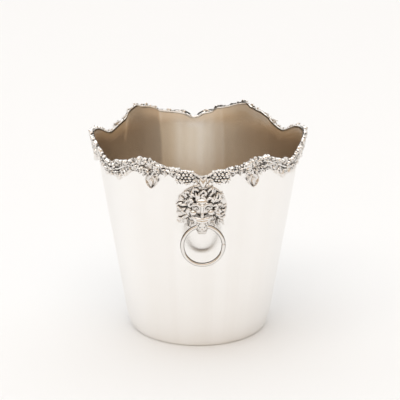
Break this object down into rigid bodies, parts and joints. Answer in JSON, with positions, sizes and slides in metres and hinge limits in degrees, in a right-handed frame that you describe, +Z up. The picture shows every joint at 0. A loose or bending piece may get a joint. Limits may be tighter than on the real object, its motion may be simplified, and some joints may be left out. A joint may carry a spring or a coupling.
{
  "type": "champagne bucket",
  "caption": "Tapered silver champagne bucket with a scalloped grape-vine border, lion masks front and back, and a ring handle hanging from each mask's mouth.",
  "frame": {"origin": "centre of the standing ring, on the table plane", "axes": "+Z up, -Y towards the front lion mask, +X to the viewer's right of it"},
  "size_m": [0.2272, 0.228, 0.2172],
  "materials": {
    "wall_silver": "polished silver plate over brass, slightly worn",
    "border_silver": "cast, silver plated, tarnished black in the recesses",
    "leaf_silver": "cast, silver plated, tarnished in the recesses",
    "grape_silver": "cast, silver plated, tarnished in the recesses",
    "mask_silver": "cast, silver plated, tarnished in the recesses",
    "ring_silver": "polished silver plate on wire"
  },
  "bodies": {
    "bucket": {"border_back_left": "border_silver", "border_back_right": "border_silver", "border_front_left": "border_silver", "border_front_right": "border_silver", "border_side_left": "border_silver", "border_side_right": "border_silver", "bucket_shell": "wall_silver", "clasp_leaf_back": "leaf_silver", "clasp_leaf_front": "leaf_silver", "grape_bunch_back_left": "grape_silver", "grape_bunch_back_right": "grape_silver", "grape_bunch_front_left": "grape_silver", "grape_bunch_front_right": "grape_silver", "lion_mask_back": "mask_silver", "lion_mask_front": "mask_silver", "pendant_leaf_back_left": "leaf_silver", "pendant_leaf_back_right": "leaf_silver", "pendant_leaf_front_left": "leaf_silver", "pendant_leaf_front_right": "leaf_silver", "pendant_leaf_side_left": "leaf_silver", "pendant_leaf_side_right": "leaf_silver"},
    "front_ring": {"ring_handle_front": "ring_silver"},
    "back_ring": {"ring_handle_back": "ring_silver"}
  },
  "joints": [
    {"name": "front_ring_swing", "type": "hinge", "parent": "bucket", "child": "front_ring", "pos_m": [0, -0.10651, 0.14652], "axis": [-1, 0, 0], "range_deg": [-15, 165]},
    {"name": "back_ring_swing", "type": "hinge", "parent": "bucket", "child": "back_ring", "pos_m": [0, 0.10651, 0.14652], "axis": [1, 0, 0], "range_deg": [-15, 165]}
  ]
}
